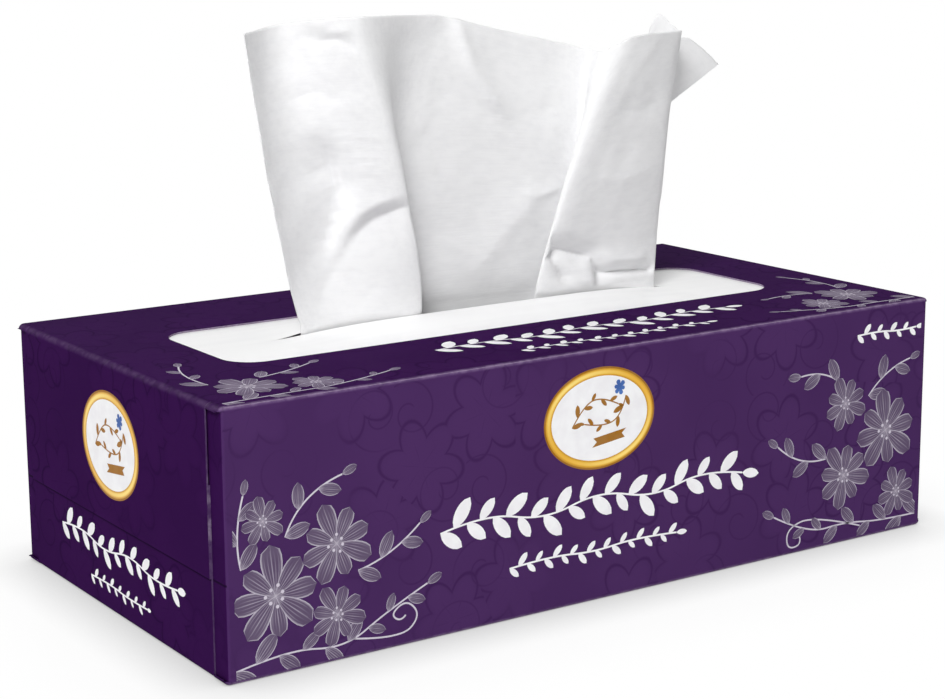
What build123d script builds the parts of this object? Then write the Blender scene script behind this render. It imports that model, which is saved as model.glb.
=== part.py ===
import os

from build123d import *

os.makedirs("parts", exist_ok=True)

# Carton, outside sizes in mm
box_length = 230.0
box_width = 120.0
box_height = 68.0
board = 0.45
fold_radius = 2.6 * board
end_fold_radius = 4 * board
flap_side_inset = 6.5
outer_flap_reach = 43.0
inner_flap_reach = 48.0
dust_flap_reach = 42.0
glue_flap_reach = 15.0

# Window in the top panel
window_end_margin = 25.0
window_side_margin = 37.0
window_radius = 9.0

# Film under the window
film = 0.1
glue_line = 0.05
film_margin = 10.0
tent_margin = 3.0
slit_end_margin = 18.0
slit_half_opening = 5.2
lip_lift = 3.4

# Stack of folded tissues
stack_end_clearance = 12.0
stack_side_clearance = 8.0
head_space = 14.0
stack_edge_radius = 5.0

# Raised tissue
sheet = 0.3
tissue_rise = 84.0
pleat_depth = 13.0
tail_length = 44.0
tail_end_inset = 2.0
fold_gap = 0.3

# Values that follow from those
tube_half = box_length / 2 - end_fold_radius
flap_width = box_width - 2 * flap_side_inset
window_length = box_length - 2 * window_end_margin
window_width = box_width - 2 * window_side_margin
film_length = window_length + 2 * film_margin
film_width = window_width + 2 * film_margin
film_top = box_height - board - glue_line
tent_half = window_width / 2 - tent_margin
slit_half = window_length / 2 - slit_end_margin
stack_length = box_length - 2 * stack_end_clearance
stack_width = box_width - 2 * stack_side_clearance
stack_top = box_height - head_space


# A panel that bends a quarter turn into a flap, drawn in the panel's own plane
def bent_strip(plane, outer, turn, reach, width):
    start = tube_half - end_fold_radius
    inner = outer - board
    ribbon = make_face(
        Polyline(
            (start, 0),
            (outer, 0),
            (outer, reach),
            (inner, reach),
            (inner, board),
            (start, board),
            close=True,
        )
    )
    outside = ribbon.vertices().sort_by_distance((outer, 0, 0))[0]
    ribbon = fillet(outside, turn)
    inside = ribbon.vertices().sort_by_distance((inner, board, 0))[0]
    ribbon = fillet(inside, turn - board)
    return extrude(plane * ribbon, width / 2, both=True)


# Carton tube: four panels with rounded long folds and the glue flap inside the back
outer_ring = RectangleRounded(box_width, box_height, fold_radius)
inner_ring = RectangleRounded(box_width - 2 * board, box_height - 2 * board, fold_radius - board)
tube = extrude(Plane.YZ * Pos(0, box_height / 2) * (outer_ring - inner_ring), tube_half, both=True)
glue_flap = Pos(0, box_width / 2 - 1.5 * board, board + glue_flap_reach / 2) * Box(
    2 * tube_half, board, glue_flap_reach
)

# Carton end: two dust flaps inside, the lower flap over them, the upper flap outside
upper_plane = Plane(origin=(0, 0, box_height), x_dir=(1, 0, 0), z_dir=(0, 1, 0))
lower_plane = Plane(origin=(0, 0, 0), x_dir=(1, 0, 0), z_dir=(0, -1, 0))
front_plane = Plane(origin=(0, -box_width / 2, box_height / 2), x_dir=(1, 0, 0), z_dir=(0, 0, 1))
back_plane = Plane(origin=(0, box_width / 2, box_height / 2), x_dir=(1, 0, 0), z_dir=(0, 0, -1))
dust_height = box_height - 2 * fold_radius
end_face = box_length / 2
upper_flap = bent_strip(upper_plane, end_face, end_fold_radius, outer_flap_reach, flap_width)
lower_flap = bent_strip(
    lower_plane, end_face - board, end_fold_radius - board, inner_flap_reach, flap_width
)
dust_outer = end_face - 2 * board
dust_turn = end_fold_radius - 2 * board
front_dust = bent_strip(front_plane, dust_outer, dust_turn, dust_flap_reach, dust_height)
back_dust = bent_strip(back_plane, dust_outer, dust_turn, dust_flap_reach, dust_height)
right_end = upper_flap + lower_flap + front_dust + back_dust
left_end = mirror(right_end, about=Plane.YZ)

# Window with rounded corners through the top panel
window = extrude(
    Pos(0, 0, box_height) * RectangleRounded(window_length, window_width, window_radius),
    4 * board,
    both=True,
)
carton = tube + glue_flap + right_end + left_end - window
export_step(carton, "parts/carton.step")


# Share of the slit's opening left at a distance along it, 1 in the middle and 0 at the ends
def slit_share(x):
    share = max(0.0, 1 - (x / slit_half) ** 4)
    return share**2


# Cross-section of the film at a distance along the slit, lifted towards the slit by the tissue
def film_section(x):
    lift = lip_lift * slit_share(x)
    heights = [lift * max(0.0, 1 - (i / 4) ** 2) ** 2 for i in range(-4, 5)]
    spread = [tent_half * i / 4 for i in range(-4, 5)]
    edge = film_width / 2
    outline = []
    for z in (film_top, film_top - film):
        crest = [Vector(x, y, z + h) for y, h in zip(spread, heights)]
        outline.append(Edge.make_line((x, -edge, z), crest[0]))
        outline += [Edge.make_line(a, b) for a, b in zip(crest, crest[1:])]
        outline.append(Edge.make_line(crest[-1], (x, edge, z)))
    outline.append(Edge.make_line((x, -edge, film_top), (x, -edge, film_top - film)))
    outline.append(Edge.make_line((x, edge, film_top), (x, edge, film_top - film)))
    return Wire(outline)


# Film: tented along the slit, flat plates beyond the slit's ends, and the slit itself
film_sections = [film_section(slit_half * i / 5) for i in range(-5, 6)]
tent = Solid.make_loft(film_sections, ruled=True)
film_end = film_length / 2 - slit_half
film_plates = [
    Pos(side * (slit_half + film_end / 2), 0, film_top - film / 2) * Box(film_end, film_width, film)
    for side in (-1, 1)
]
slit_rim = [(slit_half * (i / 10 - 1)) for i in range(21)]
slit_front = [(x, -slit_half_opening * slit_share(x)) for x in slit_rim]
slit_back = [(x, slit_half_opening * slit_share(x)) for x in slit_rim]
slit_lens = make_face(Spline(*slit_front) + Spline(*slit_back))
slit_cut = extrude(Pos(0, 0, film_top - lip_lift) * slit_lens, 3 * lip_lift)
window_film = Part() + tent + film_plates - slit_cut
export_step(window_film, "parts/window_film.step")

# Stack of interfolded tissues, rounded along its folded sides
stack_block = Pos(0, 0, (board + stack_top) / 2) * Box(stack_length, stack_width, stack_top - board)
tissue_stack = fillet(stack_block.edges().filter_by(Axis.X), stack_edge_radius)
export_step(tissue_stack, "parts/tissue_stack.step")

# Folds of the raised tissue from left to right, as shares:
# along the slit, across the slit, along the free edge, depth of the pleat
folds = [
    (-0.82, -0.10, -1.09, -0.60),
    (-0.70, -0.20, -0.86, 0.50),
    (-0.35, -1.05, -0.72, -0.85),
    (-0.30, -0.72, -0.64, -0.90),
    (-0.35, -0.35, -0.53, -0.68),
    (-0.48, -0.12, -0.41, -0.35),
    (-0.53, 0.14, -0.28, -0.08),
    (-0.48, 0.40, -0.14, 0.03),
    (0.03, 0.70, 0.06, 0.02),
    (0.44, 0.62, 0.34, 0.00),
    (0.49, 0.32, 0.46, -0.06),
    (0.44, 0.00, 0.53, -0.24),
    (0.26, -0.22, 0.57, -0.62),
    (0.21, -0.55, 0.63, -0.95),
    (0.26, -0.90, 0.74, -0.95),
    (0.82, -0.36, 0.97, -0.45),
    (0.87, -0.05, 0.99, -0.05),
    (0.83, 0.12, 0.96, 0.30),
    (0.58, 0.24, 0.84, 0.55),
    (0.66, 0.58, 1.28, 0.75),
]
# Free edge of the tissue from left to right: place across the sheet and height, as shares
free_edge = [
    (0.00, 0.964),
    (0.06, 0.969),
    (0.09, 0.980),
    (0.12, 0.993),
    (0.15, 1.002),
    (0.20, 1.004),
    (0.27, 0.999),
    (0.36, 0.991),
    (0.39, 0.975),
    (0.42, 0.947),
    (0.45, 0.914),
    (0.48, 0.885),
    (0.51, 0.867),
    (0.54, 0.856),
    (0.60, 0.849),
    (0.63, 0.847),
    (0.66, 0.871),
    (0.69, 0.895),
    (0.72, 0.902),
    (0.81, 0.898),
    (0.84, 0.925),
    (0.865, 0.959),
    (0.895, 0.871),
    (0.925, 0.863),
    (0.935, 0.830),
    (0.945, 0.801),
    (0.955, 0.781),
    (0.965, 0.768),
    (0.98, 0.760),
    (1.00, 0.759),
]
# The last fold is a corner that hangs out to the right between these height shares
flag_start = 0.44
flag_end = 0.73
steps = 3 * len(folds)
slit_level = film_top + lip_lift
top_level = box_height + 1.02 * tissue_rise
foot_level = stack_top + sheet


# A point of the raised tissue: fold by number, height share from the slit to the top level
def fold_point(number, share):
    along, across, edge_along, depth = folds[number]
    spread = share**0.8 if number < 2 else share**1.35
    if number == len(folds) - 1:
        spread = max(0.0, (share - flag_start) / (flag_end - flag_start))
    open_out = share**0.75
    x = slit_half * (along + (edge_along - along) * spread)
    y = slit_half_opening * across * (1 - open_out) + pleat_depth * depth * open_out
    return Vector(x, y, 0)


# A place on the smooth line that the fold points steer, from 0 at the left to 1 at the right
def line_place(points, share):
    steer = [points[0]] * 2 + points + [points[-1]] * 2
    spans = len(steer) - 3
    first = min(int(share * spans), spans - 1)
    t = share * spans - first
    a, b, c, d = steer[first : first + 4]
    near = b * (3 * t**3 - 6 * t**2 + 4) + c * (1 + 3 * t + 3 * t**2 - 3 * t**3)
    return (a * (1 - t) ** 3 + near + d * t**3) / 6


# Height share that the free edge reaches at a place across the sheet
def edge_share(across):
    ahead = next(i for i in range(1, len(free_edge)) if across <= free_edge[i][0])
    (start, low), (end, high) = free_edge[ahead - 1 : ahead + 1]
    height = low + (high - low) * (across - start) / (end - start)
    return (box_height + tissue_rise * height - slit_level) / (top_level - slit_level)


# Both sides of the sheet along one row: the folded line moved half a thickness each way
def sheet_section(row):
    sides = []
    for half in (-sheet / 2, sheet / 2):
        side = []
        for i in range(steps + 1):
            share = row * edge_share(i / steps)
            points = [fold_point(number, share) for number in range(len(folds))]
            ahead = line_place(points, min(1.0, (i + 0.05) / steps))
            behind = line_place(points, max(0.0, (i - 0.05) / steps))
            run = (ahead - behind).normalized()
            grow = 0 if i in (0, steps) else half
            level = slit_level + (top_level - slit_level) * share
            side.append(line_place(points, i / steps) + Vector(-run.Y * grow, run.X * grow, level))
        sides.append(side)
    return sides


# Raised tissue: pleats gathered in the slit, opening towards a free edge that rises and falls
rows = (0, 0.1, 0.2, 0.32, 0.44, 0.56, 0.68, 0.84, 1)
sections = [sheet_section(row) for row in rows]
foot = [[Vector(p.X, p.Y, foot_level) for p in side] for side in sections[0]]
sections.insert(0, foot)
facets = [foot[0] + foot[1][-2:0:-1]]
for low, high in zip(sections, sections[1:]):
    for low_side, high_side in zip(low, high):
        for i in range(steps):
            facets.append((low_side[i], low_side[i + 1], high_side[i + 1]))
            facets.append((low_side[i], high_side[i + 1], high_side[i]))
front, back = sections[-1]
for i in range(1, steps):
    facets.append((front[i - 1], front[i], back[i]))
    facets.append((front[i], back[i + 1], back[i]))
pleats = Part() + Solid(Shell([Face(Wire.make_polygon(corners)) for corners in facets]))

# Tail of the sheet: it lies back over the stack and turns under itself once
turn_outer = sheet + fold_gap / 2
upper_z = stack_top + sheet + fold_gap
tail_width = stack_length - 2 * tail_end_inset
tail_profile = Pos(tail_length / 2, upper_z + sheet / 2) * Rectangle(tail_length, sheet)
tail_profile += Pos(tail_length / 2, stack_top + sheet / 2) * Rectangle(tail_length, sheet)
ring = Circle(turn_outer) - Circle(fold_gap / 2)
half_ring = ring & Pos(turn_outer, 0) * Rectangle(2 * turn_outer, 2 * turn_outer)
tail_profile += Pos(tail_length, stack_top + turn_outer) * half_ring
tail = extrude(Plane.YZ * tail_profile, tail_width / 2, both=True)
raised_tissue = pleats + tail
export_step(raised_tissue, "parts/raised_tissue.step")
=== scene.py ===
import math
from itertools import product
import bpy
import bmesh
from mathutils import Matrix, Vector, noise


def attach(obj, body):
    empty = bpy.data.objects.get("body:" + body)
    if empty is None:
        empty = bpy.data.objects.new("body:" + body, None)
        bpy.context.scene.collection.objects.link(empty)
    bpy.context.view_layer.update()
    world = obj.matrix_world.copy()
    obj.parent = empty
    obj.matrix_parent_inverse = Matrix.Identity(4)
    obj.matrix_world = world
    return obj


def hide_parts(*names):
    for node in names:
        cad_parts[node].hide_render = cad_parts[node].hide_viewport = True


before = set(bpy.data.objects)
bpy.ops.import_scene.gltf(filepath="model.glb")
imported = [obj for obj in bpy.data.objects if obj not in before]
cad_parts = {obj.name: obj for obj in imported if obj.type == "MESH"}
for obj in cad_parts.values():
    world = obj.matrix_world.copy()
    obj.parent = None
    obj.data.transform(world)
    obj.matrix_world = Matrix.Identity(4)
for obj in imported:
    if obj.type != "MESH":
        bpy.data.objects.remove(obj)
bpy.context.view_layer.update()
scene = bpy.context.scene
scene.view_settings.view_transform = "Standard"
print("frame loaded")


class Flow:  # one socket of a node tree, so that node maths reads as plain sums
    def __init__(self, tree, socket=None):
        self.tree = tree
        self.socket = socket

    def add(self, kind, settings=None, inputs=None, out=0):  # any node: its settings first, then its sockets
        node = self.tree.nodes.new(kind)
        for key, value in (settings or {}).items():
            if key == "stops":
                ramp = node.color_ramp
                while len(ramp.elements) < len(value):
                    ramp.elements.new(0.5)
                for element, (place, colour) in zip(ramp.elements, value):
                    element.position = place
                    element.color = colour
            else:
                setattr(node, key, value)
        for key, value in (inputs or {}).items():
            if isinstance(value, Flow):
                self.tree.links.new(value.socket, node.inputs[key])
            else:
                node.inputs[key].default_value = value
        return Flow(self.tree, node.outputs[out] if node.outputs else None)

    def out(self, name):  # another output of the same node
        return Flow(self.tree, self.socket.node.outputs[name])

    def calc(self, operation, *values):
        return self.add("ShaderNodeMath", {"operation": operation}, dict(enumerate(values)))

    def __add__(self, other):
        return self.calc("ADD", self, other)

    def __radd__(self, other):
        return self.calc("ADD", other, self)

    def __sub__(self, other):
        return self.calc("SUBTRACT", self, other)

    def __rsub__(self, other):
        return self.calc("SUBTRACT", other, self)

    def __mul__(self, other):
        return self.calc("MULTIPLY", self, other)

    def __rmul__(self, other):
        return self.calc("MULTIPLY", other, self)

    def __truediv__(self, other):
        return self.calc("DIVIDE", self, other)

    def __rtruediv__(self, other):
        return self.calc("DIVIDE", other, self)

    def __pow__(self, other):
        return self.calc("POWER", self, other)

    def __abs__(self):
        return self.calc("ABSOLUTE", self)

    def largest(self, first, *others):
        for other in others:
            first = self.calc("MAXIMUM", first, other)
        return first

    def ease(self, low, high):  # 0 below low, 1 above high, smooth between
        values = {"Value": self, "From Min": low, "From Max": high}
        return self.add("ShaderNodeMapRange", {"interpolation_type": "SMOOTHSTEP"}, values)

    def blend(self, low, high):  # colour low where the socket is 0, colour high where it is 1
        return self.add("ShaderNodeMix", {"data_type": "RGBA"}, {0: self, 6: low, 7: high}, 2)

    def triple(self, x, y, z):
        return self.add("ShaderNodeCombineXYZ", inputs={0: x, 1: y, 2: z})

    def split(self, vector):
        return self.add("ShaderNodeSeparateXYZ", inputs={0: vector})

    def place(self, kind):  # Object or UV coordinates
        return self.add("ShaderNodeTexCoord", out=kind)

    def cloud(self, place, scale, detail):
        return self.add("ShaderNodeTexNoise", inputs={"Vector": place, "Scale": scale, "Detail": detail})

    def bump(self, height, strength, distance):
        relief = {"Strength": strength, "Distance": distance, "Height": height}
        return self.add("ShaderNodeBump", inputs=relief)

    def join(self, *parts):  # several geometries as one
        node = self.tree.nodes.new("GeometryNodeJoinGeometry")
        for part in parts:
            self.tree.links.new(part.socket, node.inputs[0])
        return Flow(self.tree, node.outputs[0])

    def move(self, shape, **where):  # to a Position, or by an Offset
        return self.add("GeometryNodeSetPosition", inputs=dict(where, Geometry=shape))

    def scatter(self, points, shape, angle, size):  # a turned and scaled copy of a shape on each point
        turn = self.add("FunctionNodeEulerToRotation", inputs={0: self.triple(0.0, 0.0, angle)})
        copies = {"Points": points, "Instance": shape, "Rotation": turn, "Scale": size}
        return self.add("GeometryNodeInstanceOnPoints", inputs=copies)


def newFinish(name, **sockets):  # a material with one Principled shader, constant sockets set directly
    finish = bpy.data.materials.new(name)
    finish.use_nodes = True
    shader = finish.node_tree.nodes["Principled BSDF"]
    for key, value in sockets.items():
        shader.inputs[key.replace("_", " ")].default_value = value
    return finish, Flow(finish.node_tree), shader


def feed(shader, key, value):  # what varies over the surface goes into a shader socket
    value.tree.links.new(value.socket, shader.inputs[key])


def newPiece(name, points, faces, finish):  # a mesh piece that rides with the carton
    mesh = bpy.data.meshes.new(name)
    mesh.from_pydata(points, [], faces)
    mesh.update()
    mesh.shade_smooth()
    piece = bpy.data.objects.new(name, mesh)
    scene.collection.objects.link(piece)
    mesh.materials.append(finish)
    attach(piece, "root")
    return piece


def addWall(piece, thick, offset):  # a sheet gets its thickness, in mm
    wall = piece.modifiers.new("thickness", "SOLIDIFY")
    wall.thickness = thick * mm
    wall.offset = offset


def sCurve(share):
    share = min(1.0, max(0.0, share))
    return share * share * (3 - 2 * share)


mm = 0.001
box = {"length": 230.0, "width": 120.0, "height": 68.0, "board": 0.45}  # the carton's sizes, in mm

# carton board, in metres: bands beside the folds are worn, raw paper shows at cut edges and inside
cartonLook = {
    "purple": (0.072, 0.028, 0.115, 1), "shade": (0.044, 0.015, 0.076, 1),
    # painted shade: darker inks for the ends and top, standing in for the lesser light they get
    "paintedShadeInk": (0.035, 0.006, 0.064, 1), "paintedShadeInkLow": (0.019, 0.003, 0.038, 1),
    "worn": (0.34, 0.24, 0.40, 1), "seamShade": (0.008, 0.003, 0.014, 1),
    "rawEdge": (0.34, 0.27, 0.38, 1), "inside": (0.22, 0.17, 0.25, 1),
    "petals": 3.0, "facing": 0.6,  # of each rosette, and the least lean of a side or an end
    "wornBand": 0.0012, "wornFade": 0.0010, "endBand": 0.0019, "endFade": 0.0015,
    "seam": 0.025, "seamBand": 0.0007, "seamFade": 0.0004,
    "flapSide": 0.0535, "flapCut": 0.00006, "flapFade": 0.00002, "flapDepth": 0.0015, "flapStart": 0.0002,
    "endWall": 0.0021, "cutDepth": 0.0006, "windowMargin": 0.02, "windowFade": 0.001,
    "sharp": 0.0001, "fine": 0.00005, "skin": 0.6,  # skin: the printed share of the board
}


def boardFinish(look):
    finish, flow, shader = newFinish("printed_board", Specular_IOR_Level=0.004)
    place = flow.place("Object")
    spot, face = flow.split(place), flow.split(place.out("Normal"))
    x, y, z = spot.out("X"), spot.out("Y"), spot.out("Z")
    sideOn = flow.calc("GREATER_THAN", abs(face.out("Y")), look["facing"])
    endOn = flow.calc("GREATER_THAN", abs(face.out("X")), look["facing"])
    across = x + endOn * (y - x)  # panel coordinates: along the panel and up it
    up = y + flow.largest(sideOn, endOn) * (z - y)
    flat = flow.triple(across, up, 0.0)
    fullTurn = 6.283

    def rosettes(scale, shift, size):  # line drawings scattered over the ground, one in each cell
        moved = flow.add("ShaderNodeVectorMath", {"operation": "ADD"}, {0: flat, 1: shift})
        cells = {"Vector": moved, "Scale": scale, "Randomness": 0.75}
        cell = flow.add("ShaderNodeTexVoronoi", {"voronoi_dimensions": "2D"}, cells, "Position")
        away = flow.add("ShaderNodeVectorMath", {"operation": "SUBTRACT"}, {0: moved, 1: cell})
        part = flow.split(away)
        chance = flow.add("ShaderNodeSeparateColor", inputs={0: cell.out("Color")})
        radius = flow.add("ShaderNodeVectorMath", {"operation": "LENGTH"}, {0: away}, "Value")
        angle = flow.calc("ARCTAN2", part.out("Y"), part.out("X")) + fullTurn * chance
        return radius / size, angle

    def lineAt(value, thick):
        return 1 - abs(value).ease(0.0, thick)

    radius, angle = rosettes(36.0, (0.31, 0.17, 0.0), 0.0125)
    lobe = 0.60 + 0.40 * abs(flow.calc("COSINE", angle * look["petals"]))
    bloomLine = lineAt(radius - lobe, 0.075)
    veinLine = lineAt(flow.calc("SINE", angle * look["petals"]), 0.16) * (1 - radius.ease(0.3, 0.62))
    bloomFill = (lobe - radius).ease(0.0, 0.25)
    radius, angle = rosettes(47.0, (0.83, 0.46, 0.0), 0.0095)
    curlLine = lineAt(flow.calc("SINE", 0.5 * angle - 5.2 * radius), 0.24)
    curlLine = curlLine * (1 - radius.ease(0.85, 1.05)) * radius.ease(0.12, 0.2)
    drawn = flow.largest(bloomLine, 0.7 * veinLine, 0.8 * curlLine)
    cloud = flow.cloud(place, 30.0, 2.0)
    tone = 0.62 + 0.22 * cloud.ease(0.35, 0.7) + 0.16 * bloomFill - 0.55 * drawn * cloud.ease(0.3, 0.6)
    tone = tone.ease(-0.1, 1.1)
    paintedShadeInk = tone.blend(look["paintedShadeInkLow"], look["paintedShadeInk"])  # painted shade: ends and top take a darker ink
    ink = sideOn.blend(paintedShadeInk, tone.blend(look["shade"], look["purple"]))

    half, top, wide = box["width"] / 2 * mm, box["height"] * mm, box["length"] / 2 * mm
    band, fade = look["wornBand"], look["wornFade"]
    atLevel = flow.largest((z - top + band).ease(0.0, fade), (band - z).ease(0.0, fade))
    longFold = (abs(y) - half + band).ease(0.0, fade) * atLevel
    band, fade = look["endBand"], look["endFade"]
    endFold = (abs(x) - wide + band).ease(0.0, fade) * (z - top + band).ease(0.0, fade)
    scuff = flow.cloud(place, 420.0, 4.0)
    worn = flow.largest(longFold, 0.22 * endFold) * (0.45 + 0.55 * scuff.ease(0.40, 0.64))
    ink = (0.6 * worn).blend(ink, look["worn"])
    # painted shadow: a thin dark line on the ends just under the upper flap's free edge
    overSeam = z - look["seam"]
    seam = (overSeam + look["seamBand"]).ease(0.0, look["seamFade"]) * (1 - overSeam.ease(0.0, look["sharp"]))
    ink = (0.8 * seam * endOn).blend(ink, look["seamShade"])

    flapCut = look["flapCut"] - abs(abs(y) - look["flapSide"])
    flapEnd = abs(x) - wide + look["flapDepth"]
    flapSide = flapCut.ease(0.0, look["flapFade"]) * flapEnd.ease(0.0, look["flapStart"])
    halfwayUp = z.ease(0.026, 0.036) * (1 - z.ease(0.044, 0.054))  # the raw edge is painted paler half way up than at its ends
    flapSide = flapSide * sideOn * (0.06 + (0.10 + 0.55 * halfwayUp) * scuff.ease(0.35, 0.60))
    skin, fine, sharp = box["board"] * mm * look["skin"], look["fine"], look["sharp"]
    inner = (half - skin - abs(y)).ease(0.0, fine) * (wide - look["endWall"] - abs(x)).ease(0.0, fine)
    inner = inner * (top - skin - z).ease(0.0, fine) * (z - skin).ease(0.0, fine)
    cutEdge = (top + sharp - z).ease(0.0, sharp) * (z - top + look["cutDepth"]).ease(0.0, sharp)
    cutEdge = cutEdge * (half - look["windowMargin"] - abs(y)).ease(0.0, look["windowFade"])
    cutEdge = cutEdge * (1 - abs(face.out("Z")).ease(0.4, 0.6))
    bare = flow.largest(flapSide, inner, cutEdge)
    fibre = flow.cloud(place, 1500.0, 3.0)
    paper = fibre.ease(0.3, 0.75).blend(look["inside"], look["rawEdge"])
    feed(shader, "Base Color", bare.blend(ink, paper))
    grain = flow.cloud(place, 700.0, 4.0)
    feed(shader, "Roughness", 0.56 + 0.12 * grain + 0.30 * bare + 0.04 * drawn)
    feed(shader, "Normal", flow.bump(grain, 0.10, 0.0001))
    return finish


cartonFinish = boardFinish(cartonLook)

# board that turns down at each corner, beside the end flaps
cornerShape = {
    "start": 113.2, "lead": (6.4, 4.5, 2.6),  # flat stretch before the fold, as distances from the side
    "longFold": 1.17, "endFold": 1.8, "reach": 1.76, "board": 0.3, "quarter": 6, "steps": 8,
}


def makeCorners(shape, finish):
    half, height, bend = box["width"] / 2, box["height"], shape["longFold"]
    quarter, steps = shape["quarter"], shape["steps"]
    path = [(half - back, height, 0, 1) for back in shape["lead"]]  # place and outward direction
    for k in range(quarter + 1):
        angle = math.pi / (2 * quarter) * k
        outY, outZ = math.sin(angle), math.cos(angle)
        path.append((half - bend + bend * outY, height - bend + bend * outZ, outY, outZ))
    points, faces = [], []
    for endSide, side, level in product((-1, 1), repeat=3):
        first = len(points)
        for k in range(steps + 1):
            out = shape["reach"] * math.sin(math.pi / 2 * k / steps)
            drop = shape["endFold"] - math.sqrt(shape["endFold"] ** 2 - out ** 2)
            for y, z, outY, outZ in path:
                away, wide, tall = shape["start"] + out, y - drop * outY, z - drop * outZ - height / 2
                points.append((endSide * away * mm, side * wide * mm, (height / 2 + level * tall) * mm))
        for k in range(steps):
            for i in range(len(path) - 1):
                a = first + k * len(path) + i
                ring = (a, a + len(path), a + len(path) + 1, a + 1)
                faces.append(ring if endSide * side * level > 0 else ring[::-1])
    piece = newPiece("corner_folds", points, faces, finish)
    addWall(piece, shape["board"], -1)


makeCorners(cornerShape, cartonFinish)
print("carton finish ready")

# stack of folded tissues
stackLook = {"paper": (0.86, 0.86, 0.865, 1), "gapShade": (0.66, 0.66, 0.67, 1), "sheet": 0.0006, "wander": 0.0015}


def layerFinish(look):  # edges of folded sheets, one above the other, with painted shade in the gaps between them
    finish, flow, shader = newFinish("tissue_stack", Specular_IOR_Level=0.15)
    place = flow.place("Object")
    wander = flow.cloud(place, 45.0, 2.0)
    level = flow.split(place).out("Z") + look["wander"] * wander
    layers = 0.5 + 0.5 * flow.calc("SINE", level * (2 * math.pi / look["sheet"]))
    fibre = flow.cloud(place, 900.0, 4.0)
    tone = 0.35 * layers + 0.45 * fibre + 0.3 * wander
    feed(shader, "Base Color", tone.ease(0.25, 0.75).blend(look["gapShade"], look["paper"]))
    feed(shader, "Roughness", 0.80 + 0.18 * fibre)
    feed(shader, "Normal", flow.bump(layers + 0.4 * fibre, 0.4, 0.0002))
    return finish


stackFinish = layerFinish(stackLook)

# film under the window
filmShape = {
    "length": 200.0, "width": 66.0, "top": 67.5, "thick": 0.1,
    "slitHalf": 69.0, "slitOpening": 5.2, "tentHalf": 20.0, "lipLift": 3.4,
    "stations": 150, "rows": 26, "crowding": 1.6, "weld": 0.002,  # rows crowd towards the slit
}
filmLook = {"clear": (0.95, 0.95, 0.95, 1), "milky": (0.90, 0.90, 0.905, 1), "lines": (12.0, 260.0)}


def makeFilm(shape, finish):
    points, faces = [], []
    columns, rows = shape["stations"], shape["rows"]
    for half in (-1, 1):
        first = len(points)
        for i in range(columns + 1):
            x = shape["length"] * (i / columns - 0.5)
            share = max(0.0, 1 - (x / shape["slitHalf"]) ** 4) ** 2
            near = shape["slitOpening"] * share
            for j in range(rows + 1):
                y = near + (shape["width"] / 2 - near) * (j / rows) ** shape["crowding"]
                rise = max(0.0, 1 - (y / shape["tentHalf"]) ** 2) ** 2
                z = shape["top"] - shape["thick"] / 2 + shape["lipLift"] * share * rise
                points.append((x * mm, half * y * mm, z * mm))
        for i in range(columns):
            for j in range(rows):
                a = first + i * (rows + 1) + j
                ring = (a, a + rows + 1, a + rows + 2, a + 1)
                faces.append(ring if half > 0 else ring[::-1])
    piece = newPiece("film_pane", points, faces, finish)
    work = bmesh.new()
    work.from_mesh(piece.data)
    bmesh.ops.remove_doubles(work, verts=work.verts, dist=shape["weld"] * mm)
    work.to_mesh(piece.data)
    work.free()
    addWall(piece, shape["thick"], 0)
    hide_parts("window_film")
    return piece


def filmFinish(look):  # milky film with drawn lines along the slit and faint smears
    finish, flow, shader = newFinish("film", Specular_IOR_Level=0.35)
    place = flow.place("Object")
    spot = flow.split(place)
    along, across = look["lines"]
    drawn = flow.cloud(flow.triple(along * spot.out("X"), across * spot.out("Y"), 0.0), 1.0, 3.0)
    smear = flow.cloud(place, 55.0, 3.0)
    tone = (0.5 * drawn + 0.5 * smear).ease(0.30, 0.60)
    feed(shader, "Base Color", tone.blend(look["milky"], look["clear"]))
    feed(shader, "Roughness", 0.22 + 0.16 * smear + 0.06 * drawn)
    feed(shader, "Normal", flow.bump(drawn + smear, 0.15, 0.0003))
    return finish


filmPane = makeFilm(filmShape, filmFinish(filmLook))
print("film ready")

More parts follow.
